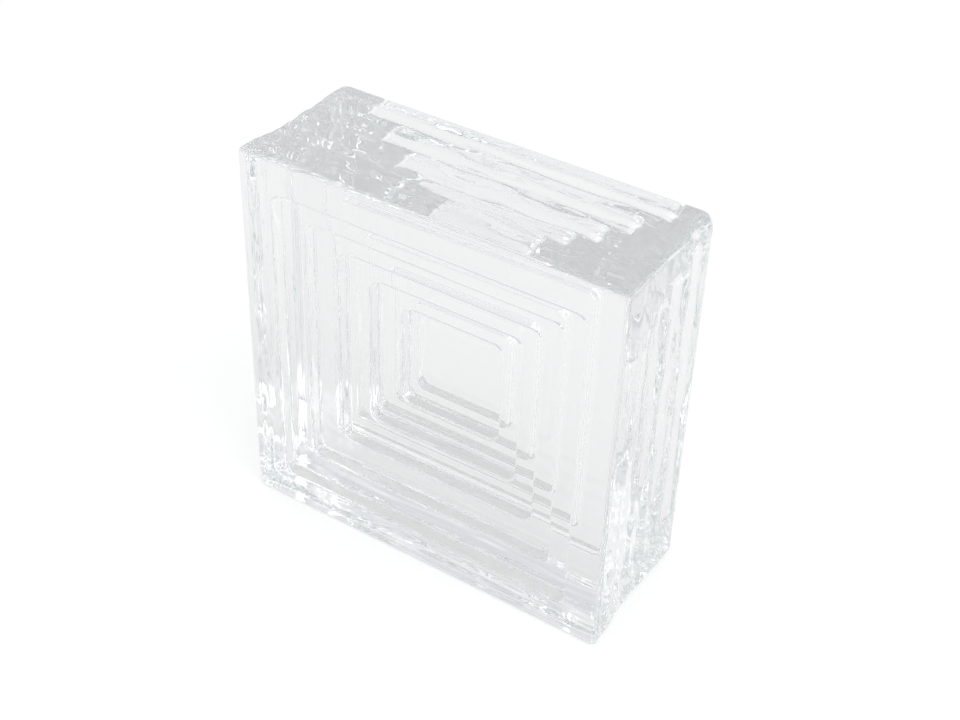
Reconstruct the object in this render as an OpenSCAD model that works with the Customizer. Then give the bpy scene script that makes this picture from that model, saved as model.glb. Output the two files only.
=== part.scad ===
// Solid pressed glass block with a stepped square recess in each face.
// It is one piece of clear glass. It stands on one edge, as it is laid in a wall:
// X is its width, Y its thickness with the front face at -Y, and Z its height.

/* [Block] */
// Width and height of the square face
face_w = 194; // [150:1:300]
// Thickness from the front face to the back face
thick = 76; // [72:1:110]
// Radius of the four corners, seen from the front
corner_r = 6.5; // [6:0.5:12]

/* [Edges] */
// Radius of the crisp edge round the front face
front_edge_r = 1.6; // [0.5:0.1:3]
// Radius of the softer edge round the back face
back_edge_r = 5.7; // [2:0.1:6]

/* [Side waist] */
// Straight band behind the front face
flange_d = 12; // [6:1:22]
// Depth of the shallow waist pressed round the four sides
waist_depth = 1.8; // [0.5:0.1:3.5]
// Distance from the front face to the deepest line of the waist
waist_at = 26; // [24:1:40]

/* [Stepped recesses] */
// Steps in each recess
step_count = 5; // [3:1:6]
// Flat rim between the side and the mouth of the front recess
front_rim_w = 18.2; // [15:0.1:24]
// The same rim at the back
back_rim_w = 15.8; // [13:0.1:22]
// Half width of the innermost square
floor_half = 26.4; // [18:0.1:32]
// Glass left between the two recesses
web_t = 11; // [8:0.5:16]
// Height of one riser in the front recess
front_riser_h = 6; // [5:0.1:6.5]

/* [Risers] */
// Corner radius of every step
step_corner_r = 4.7; // [4.5:0.1:8]
// Radius along the lip of every riser
lip_r = 1.5; // [0.6:0.1:2]
// Radius along the foot of every riser
foot_r = 3; // [1:0.1:3.2]
// Lean of every riser away from the thickness axis, in degrees
riser_draft = 5; // [1:0.5:8]

/* [Hidden] */
$fn = 72;
half = face_w / 2;
// the back recess takes the thickness that the web and the front recess leave
back_riser_h = (thick - web_t - step_count * front_riser_h) / step_count;
flare_end = thick - back_edge_r;
waist_cuts = 14;
// how far the recess tools reach out of the face
outside = 4;
// the lip and foot arcs cross tread and wall at a slight angle
arc_bite = 0.02;

// Waist depth at a distance y from the front face: a smooth fall from the
// straight band to the deepest line, then a long smooth rise to the back edge.
function ease(t) = t * t * (3 - 2 * t);
function waist(y) =
    y <= waist_at ? waist_depth * ease((y - flange_d) / (waist_at - flange_d))
                  : waist_depth * (1 - ease((y - waist_at) / (flare_end - waist_at)));

// Lays a section round a rounded square: x of the section is measured from the
// corner axis, y along the thickness.
module round_square(reach, corner, from, to) {
    run = reach - corner;
    translate([-run, -run, from])
        cube([2 * run, 2 * run, to - from]);
    for (quarter = [0:3])
        rotate([0, 0, 90 * quarter])
            translate([run, run, 0]) {
                rotate([90, 0, 0])
                    linear_extrude(height = 2 * run)
                        children();
                rotate_extrude(angle = 90)
                    children();
            }
}

// Section of the block's side, from the front edge to the back edge.
module side_section() {
    rows = [for (i = [0:waist_cuts]) flange_d + (flare_end - flange_d) * i / waist_cuts];
    polygon(concat(
        [[0, 0], [corner_r - front_edge_r, 0]],
        [for (a = [15:15:90]) [corner_r - front_edge_r + front_edge_r * sin(a),
                               front_edge_r - front_edge_r * cos(a)]],
        [for (y = rows) [corner_r - waist(y), y]],
        [for (a = [10:10:90]) [corner_r - back_edge_r + back_edge_r * cos(a),
                               flare_end + back_edge_r * sin(a)]],
        [[0, thick]]
    ));
}

// Section of one step of a recess tool: the wall leans in by the draft, with a
// rounded foot below and a flared lip at the level of the tread outside it.
module step_section(tread_at, floor_at) {
    lip_at = tread_at + lip_r - arc_bite;
    wall = step_corner_r;
    foot = wall - tan(riser_draft) * (floor_at - lip_at);
    touch = foot_r * tan(45 - riser_draft / 2) - arc_bite;
    difference() {
        polygon([
            [0, -outside],
            [wall + lip_r, -outside],
            [wall + lip_r, lip_at],
            [wall, lip_at],
            [foot, floor_at],
            [0, floor_at]
        ]);
        translate([wall + lip_r, lip_at])
            circle(r = lip_r);
        translate([foot - touch, floor_at - foot_r])
            difference() {
                polygon([
                    [0, 0],
                    2 * foot_r * [cos(riser_draft), sin(riser_draft)],
                    [2 * foot_r, 2 * foot_r],
                    [0, 2 * foot_r]
                ]);
                circle(r = foot_r);
            }
    }
}

// The stepped tool that presses one recess, with its mouth at z = 0.
module stepped_recess(rim_w, riser_h) {
    mouth_half = half - rim_w;
    tread_w = (mouth_half - floor_half) / (step_count - 1);
    for (k = [0 : step_count - 1])
        round_square(mouth_half - k * tread_w, step_corner_r, -outside, (k + 1) * riser_h)
            step_section(k * riser_h, (k + 1) * riser_h);
}

module glass_block() {
    color([0.90, 0.94, 0.93, 0.45])
        translate([0, -thick / 2, half])
            rotate([-90, 0, 0])
                difference() {
                    round_square(half, corner_r, 0, thick)
                        side_section();
                    stepped_recess(front_rim_w, front_riser_h);
                    translate([0, 0, thick])
                        mirror([0, 0, 1])
                            stepped_recess(back_rim_w, back_riser_h);
                }
}

glass_block();
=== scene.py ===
import math

import bmesh
import bpy
from mathutils import Matrix, Vector


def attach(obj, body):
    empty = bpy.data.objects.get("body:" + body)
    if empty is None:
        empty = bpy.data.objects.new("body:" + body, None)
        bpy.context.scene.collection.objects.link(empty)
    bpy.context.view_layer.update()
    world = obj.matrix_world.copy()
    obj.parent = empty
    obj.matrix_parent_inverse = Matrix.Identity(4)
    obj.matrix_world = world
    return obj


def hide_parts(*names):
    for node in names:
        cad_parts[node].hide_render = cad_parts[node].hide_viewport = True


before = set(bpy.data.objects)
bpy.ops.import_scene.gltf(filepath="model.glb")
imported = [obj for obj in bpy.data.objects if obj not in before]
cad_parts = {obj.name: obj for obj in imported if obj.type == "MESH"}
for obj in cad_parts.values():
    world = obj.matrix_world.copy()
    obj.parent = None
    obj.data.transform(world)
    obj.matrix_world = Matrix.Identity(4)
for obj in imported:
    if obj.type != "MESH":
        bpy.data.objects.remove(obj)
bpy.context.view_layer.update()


# Glass block
# One solid piece of clear glass, pressed hot between two stepped plungers in a split mould.
# Both square faces are sunk in five steps down to a thin web, the sides are drawn in to a
# shallow waist that holds the mortar, and every edge is softened by the fire polish.
face_w = 0.194
thick = 0.076
half = face_w / 2
front_y = -thick / 2
back_y = thick / 2
front_corner_r = 0.003
back_corner_r = 0.007
front_edge_r = 0.0024
back_edge_r = 0.0057
flange_d = 0.012
flange_rows = 14
waist_at = 0.026
waist_depth = 0.0012
waist_rows = 72
step_count = 5
front_rim_w = 0.0182
back_rim_w = 0.0182
floor_half = 0.0264
web_t = 0.011
front_riser_h = 0.006
back_riser_h = (thick - web_t - step_count * front_riser_h) / step_count
step_corner_r = 0.0047
lip_r = 0.0015
foot_r = 0.0014
riser_draft = math.radians(5)
arc_cuts = 5
corner_cuts = 7
side_cuts = 40


def arc_steps(start, end):
    """Angles along an arc, both ends included."""
    return [start + (end - start) * i / arc_cuts for i in range(arc_cuts + 1)]


def recess_rings(rim_w, riser_h):
    """Depth, half width and corner radius of each ring, from the mouth to the floor."""
    rings = []
    mouth_half = half - rim_w
    tread_w = (mouth_half - floor_half) / (step_count - 1)
    for step in range(step_count):
        wall = mouth_half - step * tread_w
        tread_at = step * riser_h
        floor_at = tread_at + riser_h
        for angle in arc_steps(0, math.pi / 2 - riser_draft):
            depth = tread_at + lip_r - lip_r * math.cos(angle)
            reach = wall + lip_r - lip_r * math.sin(angle)
            rings.append((depth, reach, step_corner_r + reach - wall))
        lean = math.tan(riser_draft) * (floor_at - rings[-1][0])
        foot = rings[-1][1] - lean - foot_r * math.tan(math.pi / 4 - riser_draft / 2)
        for angle in arc_steps(riser_draft, math.pi / 2):
            depth = floor_at - foot_r + foot_r * math.sin(angle)
            reach = foot + foot_r * math.cos(angle)
            rings.append((depth, reach, step_corner_r + reach - wall))
    return rings


def ease(t):
    """Smooth change from 0 to 1."""
    return t * t * (3 - 2 * t)


def side_rings():
    """Depth, half width and corner radius of each ring, from the front edge to the back edge."""
    rings = []
    flare_end = thick - back_edge_r
    for angle in arc_steps(0, math.pi / 2):
        depth = front_edge_r - front_edge_r * math.cos(angle)
        rings.append((depth, half - front_edge_r + front_edge_r * math.sin(angle)))
    for row in range(1, flange_rows):
        rings.append((front_edge_r + (flange_d - front_edge_r) * row / flange_rows, half))
    for row in range(waist_rows):
        depth = flange_d + (flare_end - flange_d) * row / waist_rows
        if depth < waist_at:
            drawn_in = waist_depth * ease((depth - flange_d) / (waist_at - flange_d))
        else:
            drawn_in = waist_depth * (1 - ease((depth - waist_at) / (flare_end - waist_at)))
        rings.append((depth, half - drawn_in))
    for angle in arc_steps(0, math.pi / 2):
        depth = flare_end + back_edge_r * math.sin(angle)
        rings.append((depth, half - back_edge_r + back_edge_r * math.cos(angle)))
    spread = (back_corner_r - front_corner_r) / thick
    return [(depth, reach, front_corner_r + spread * depth + reach - half) for depth, reach in rings]


front_rings = recess_rings(front_rim_w, front_riser_h)[::-1] + side_rings()
back_rings = recess_rings(back_rim_w, back_riser_h)
block_rings = [(front_y + depth, reach, corner) for depth, reach, corner in front_rings]
block_rings += [(back_y - depth, reach, corner) for depth, reach, corner in back_rings]

# a quarter of the front floor's outline is the start: a plane, its corner rounded
start_y, start_half, start_corner = block_rings[0]
bpy.ops.object.select_all(action="DESELECT")
bpy.ops.mesh.primitive_plane_add(
    size=2 * start_half, location=(0, start_y, half), rotation=(math.pi / 2, 0, 0))
block = bpy.context.object
block.name = "pressed_glass_block"
block.data.name = "pressed_glass_block"
bpy.ops.object.transform_apply(location=True, rotation=True, scale=True)
bpy.ops.object.mode_set(mode="EDIT")
bpy.ops.mesh.select_mode(type="VERT")


def pick(test):
    """Selects the vertices whose place passes the test, and nothing else."""
    mesh = bmesh.from_edit_mesh(block.data)
    for vert in mesh.verts:
        vert.select_set(False)
    for vert in mesh.verts:
        if test(vert.co):
            vert.select_set(True)
    mesh.select_flush_mode()
    bmesh.update_edit_mesh(block.data)


TINY = 1e-6
bpy.ops.mesh.select_all(action="SELECT")
bpy.ops.mesh.bisect(plane_co=(0, 0, half), plane_no=(1, 0, 0), clear_inner=True)
bpy.ops.mesh.select_all(action="SELECT")
bpy.ops.mesh.bisect(plane_co=(0, 0, half), plane_no=(0, 0, 1), clear_inner=True)
pick(lambda co: co.x > TINY and co.z > half + TINY)
bpy.ops.mesh.bevel(
    offset=start_corner, offset_type="OFFSET", segments=corner_cuts, affect="VERTICES")
pick(lambda co: co.x < TINY and co.z < half + TINY)
bpy.ops.mesh.delete(type="VERT")
start_run = start_half - start_corner
for middle in (lambda co: co.x < start_run + TINY,
               lambda co: co.z < half + start_run + TINY):
    pick(middle)
    bpy.ops.mesh.subdivide(number_cuts=side_cuts)


def take(numbers):
    """Selects the vertices of these numbers, and nothing else."""
    mesh = bmesh.from_edit_mesh(block.data)
    mesh.verts.ensure_lookup_table()
    for vert in mesh.verts:
        vert.select_set(False)
    for number in numbers:
        mesh.verts[number].select_set(True)
    mesh.select_flush_mode()


# each ring is drawn out of the one before it, then its two straight runs and its corner are sized
last_y, last_half, last_corner = block_rings[0]
bpy.ops.mesh.select_all(action="SELECT")
for ring_y, ring_half, ring_corner in block_rings[1:]:
    bpy.ops.mesh.extrude_edges_move(TRANSFORM_OT_translate={"value": (0, ring_y - last_y, 0)})
    run = ring_half - ring_corner
    last_run = last_half - last_corner
    top_run, right_run, corner_arc = [], [], []
    for vert in bmesh.from_edit_mesh(block.data).verts:
        if vert.select and vert.co.x < last_run - TINY:
            top_run.append(vert.index)
        elif vert.select and vert.co.z < half + last_run - TINY:
            right_run.append(vert.index)
        elif vert.select:
            corner_arc.append(vert.index)
    along = run / last_run
    across = ring_half / last_half
    take(top_run)
    bpy.ops.transform.resize(value=(along, 1, across), center_override=(0, ring_y, half))
    take(right_run)
    bpy.ops.transform.resize(value=(across, 1, along), center_override=(0, ring_y, half))
    take(corner_arc)
    bpy.ops.transform.resize(
        value=(ring_corner / last_corner, 1, ring_corner / last_corner),
        center_override=(last_run, ring_y, half + last_run))
    bpy.ops.transform.translate(value=(run - last_run, 0, run - last_run))
    take(top_run + right_run + corner_arc)
    last_y, last_half, last_corner = ring_y, ring_half, ring_corner
bpy.ops.object.mode_set(mode="OBJECT")

# the quarter is mirrored to a half, lowered so that its middle lies at the origin, mirrored to
# the whole and raised again, and then the floors of the two recesses are closed
for mirrored, lift in (((True, False, False), -half), ((False, False, True), half)):
    quarters = block.modifiers.new("quarters", "MIRROR")
    quarters.use_axis = mirrored
    quarters.merge_threshold = 2 * TINY
    bpy.ops.object.modifier_apply(modifier=quarters.name)
    bpy.ops.object.mode_set(mode="EDIT")
    bpy.ops.mesh.select_all(action="SELECT")
    bpy.ops.transform.translate(value=(0, 0, lift))
    bpy.ops.object.mode_set(mode="OBJECT")
bpy.ops.object.mode_set(mode="EDIT")
for floor_y in (block_rings[0][0], block_rings[-1][0]):
    pick(lambda co: abs(co.y - floor_y) < TINY
         and max(abs(co.x), abs(co.z - half)) < floor_half)
    bpy.ops.mesh.edge_face_add()
bpy.ops.mesh.select_all(action="SELECT")
bpy.ops.mesh.normals_make_consistent(inside=False)

# the four sides shrank from the mould as they cooled, so they are rippled: long low waves with
# finer ones on them, all pressed inward, weaker on the straight band behind the front face and
# towards the back edge
rippled = "rippled_sides"
weak_share = 0.35
fade_factor = 0.5
fade_passes = 8
band_from = front_y + front_edge_r
waist_from = front_y + flange_d
waist_to = back_y - 2 * back_edge_r
edge_to = back_y - back_edge_r
side_reach = half - 2 * waist_depth
block.vertex_groups.new(name=rippled)
for from_y, to_y, share in ((band_from, waist_from, weak_share),
                            (waist_from, waist_to, 1),
                            (waist_to, edge_to, weak_share)):
    pick(lambda co: from_y < co.y < to_y
         and max(abs(co.x), abs(co.z - half)) > side_reach)
    bpy.context.scene.tool_settings.vertex_group_weight = share
    bpy.ops.object.vertex_group_assign()
bpy.ops.mesh.select_all(action="SELECT")
bpy.ops.object.vertex_group_smooth(
    group_select_mode="ACTIVE", factor=fade_factor, repeat=fade_passes)
bpy.ops.object.mode_set(mode="OBJECT")
long_wave_w = 0.006
long_wave_l = 0.022
long_wave_d = 0.0007
fine_wave_w = 0.0028
fine_wave_l = 0.012
fine_wave_d = 0.00012
for name, wave_w, wave_l, wave_d in (("long_waves", long_wave_w, long_wave_l, long_wave_d),
                                     ("fine_waves", fine_wave_w, fine_wave_l, fine_wave_d)):
    waves = bpy.data.textures.new(name, "CLOUDS")
    waves.noise_scale = 1
    waves.noise_depth = 0
    # the waves take their size from an empty, which is removed once they are pressed in
    bpy.ops.object.empty_add(location=(wave_l, wave_w, wave_l / 2))
    measure = bpy.context.object
    measure.scale = (wave_l, wave_w, wave_l)
    bpy.context.view_layer.update()
    bpy.context.view_layer.objects.active = block
    ripple = block.modifiers.new(name, "DISPLACE")
    ripple.texture = waves
    ripple.texture_coords = "OBJECT"
    ripple.texture_coords_object = measure
    ripple.vertex_group = rippled
    ripple.mid_level = 1
    ripple.strength = wave_d
    bpy.ops.object.modifier_apply(modifier=ripple.name)
    bpy.data.objects.remove(measure)
    bpy.data.textures.remove(waves)
bpy.ops.object.select_all(action="DESELECT")
block.select_set(True)
bpy.context.view_layer.objects.active = block
bpy.ops.object.shade_smooth()
flats = block.modifiers.new("flats", "WEIGHTED_NORMAL")
flats.weight = 100
bpy.ops.object.modifier_apply(modifier=flats.name)


def linear(hex_colour):
    """An sRGB hex colour as the linear values that Blender takes."""
    levels = [int(hex_colour[i:i + 2], 16) / 255 for i in (1, 3, 5)]
    return [v / 12.92 if v < 0.04045 else ((v + 0.055) / 1.055) ** 2.4 for v in levels] + [1]


def add_node(tree, kind, settings, **links):
    """Adds a node, sets its values by name, and links its inputs to other nodes' outputs."""
    node = tree.nodes.new(kind)
    for name, value in settings.items():
        if name in node.inputs:
            node.inputs[name].default_value = value
        else:
            setattr(node, name, value)
    for name, output in links.items():
        tree.links.new(output, node.inputs[name.replace("_", " ")])
    return node


# Soda-lime glass, pressed and fire polished: clear, with a high gloss. It bends what lies
# behind it, and the long paths through its rim show a trace of cool grey.
glass_ior = 1.515
tint_density = 10
clear_glass = bpy.data.materials.new("clear_soda_lime_glass")
clear_glass.use_nodes = True
glass_tree = clear_glass.node_tree
glass_tree.nodes.clear()
glass = add_node(glass_tree, "ShaderNodeBsdfPrincipled", {
    "Base Color": linear("#FFFFFF"), "Transmission Weight": 1, "Roughness": 0, "IOR": glass_ior})
depth_tint = add_node(glass_tree, "ShaderNodeVolumeAbsorption", {
    "Color": linear("#F8F9F9"), "Density": tint_density})
add_node(glass_tree, "ShaderNodeOutputMaterial", {},
         Surface=glass.outputs["BSDF"], Volume=depth_tint.outputs["Volume"])
block.data.materials.append(clear_glass)

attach(block, "root")
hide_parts("glass_block")


# Floor
# A plain white paper top that runs on as the background. The camera sees it white all over,
# the glass sees it a little greyer, and it keeps the soft shadow of the block.
floor_size = 8
camera_glow = 0.58
seen_in_glass = 0.47
bpy.ops.object.select_all(action="DESELECT")
bpy.ops.mesh.primitive_plane_add(size=floor_size)
table = bpy.context.object
table.name = "table_top"
white_paper = bpy.data.materials.new("white_paper")
white_paper.use_nodes = True
paper_tree = white_paper.node_tree
paper_tree.nodes.clear()
rays = add_node(paper_tree, "ShaderNodeLightPath", {})
through_glass = add_node(paper_tree, "ShaderNodeMath", {"operation": "MAXIMUM"})
paper_tree.links.new(rays.outputs["Is Glossy Ray"], through_glass.inputs[0])
paper_tree.links.new(rays.outputs["Is Transmission Ray"], through_glass.inputs[1])
glass_glow = add_node(paper_tree, "ShaderNodeMath", {"operation": "MULTIPLY"})
paper_tree.links.new(through_glass.outputs[0], glass_glow.inputs[0])
glass_glow.inputs[1].default_value = seen_in_glass
glow = add_node(paper_tree, "ShaderNodeMath", {"operation": "MULTIPLY_ADD"})
paper_tree.links.new(rays.outputs["Is Camera Ray"], glow.inputs[0])
glow.inputs[1].default_value = camera_glow
paper_tree.links.new(glass_glow.outputs[0], glow.inputs[2])
shine = add_node(paper_tree, "ShaderNodeEmission", {}, Strength=glow.outputs[0])
paper = add_node(paper_tree, "ShaderNodeBsdfDiffuse", {"Color": linear("#ADADAD")})
both = add_node(paper_tree, "ShaderNodeAddShader", {})
paper_tree.links.new(shine.outputs[0], both.inputs[0])
paper_tree.links.new(paper.outputs[0], both.inputs[1])
add_node(paper_tree, "ShaderNodeOutputMaterial", {}, Surface=both.outputs[0])
table.data.materials.append(white_paper)


# Studio light
# A soft white tent round the table, greyer behind the block, and one large soft lamp at the
# front right. The light may bounce often enough to pass the steps of both recesses.
greyest_at = 0.8
tent = bpy.data.worlds.new("white_tent")
bpy.context.scene.world = tent
tent.use_nodes = True
tent_tree = tent.node_tree
look = add_node(tent_tree, "ShaderNodeTexCoord", {})
looking = add_node(tent_tree, "ShaderNodeSeparateXYZ", {}, Vector=look.outputs["Generated"])
behind = add_node(tent_tree, "ShaderNodeMapRange", {"From Min": 0, "From Max": greyest_at},
                  Value=looking.outputs["Y"])
cloth = add_node(tent_tree, "ShaderNodeMix", {"data_type": "RGBA"},
                 Factor=behind.outputs["Result"])
# a Mix node has sockets of one name for each kind of value, so the colours go by number
cloth.inputs[6].default_value = linear("#FEFFFF")
cloth.inputs[7].default_value = linear("#DADCE0")
tent_tree.links.new(cloth.outputs[2], tent_tree.nodes["Background"].inputs["Color"])
bpy.context.scene.cycles.max_bounces = 32
bpy.context.scene.cycles.glossy_bounces = 24
bpy.context.scene.cycles.transmission_bounces = 32
lamp_size = 1.6
lamp_power = 11
lamp_place = Vector((0.9, -0.55, 0.95))
lamp_aim = Vector((0, 0, 0.1))
key = bpy.data.lights.new("soft_lamp", "AREA")
key.shape = "SQUARE"
key.size = lamp_size
key.energy = lamp_power
lamp = bpy.data.objects.new("soft_lamp", key)
bpy.context.scene.collection.objects.link(lamp)
lamp.location = lamp_place
lamp.rotation_euler = (lamp_place - lamp_aim).to_track_quat("Z", "Y").to_euler()


# Camera
# It looks down on the front face from the right, as in the photograph. Its angles, distance
# and lens were fitted to the block's corners.
view_from = math.radians(32.6228)
view_down = math.radians(37.5235)
view_roll = math.radians(1.6625)
view_distance = 3.86462 * face_w
aim_depth = 0.18846 * face_w
aim = Vector((0, front_y + aim_depth, half))
back_axis = Vector((
    math.sin(view_from) * math.cos(view_down),
    -math.cos(view_from) * math.cos(view_down),
    math.sin(view_down)))
level_axis = Vector((0, 0, 1)).cross(back_axis).normalized()
up_axis = back_axis.cross(level_axis)
right_axis = math.cos(view_roll) * level_axis + math.sin(view_roll) * up_axis
top_axis = math.cos(view_roll) * up_axis - math.sin(view_roll) * level_axis
lens = bpy.data.cameras.new("photo_camera")
lens.sensor_width = 36
lens.lens = 61.669
lens.shift_x = 0.015495
lens.shift_y = 0.002039
lens.clip_start = 0.01
camera = bpy.data.objects.new("photo_camera", lens)
bpy.context.scene.collection.objects.link(camera)
turn = Matrix((right_axis, top_axis, back_axis)).transposed().to_4x4()
camera.matrix_world = Matrix.Translation(aim + back_axis * view_distance) @ turn
bpy.context.scene.camera = camera

bpy.context.scene.view_settings.view_transform = "Standard"
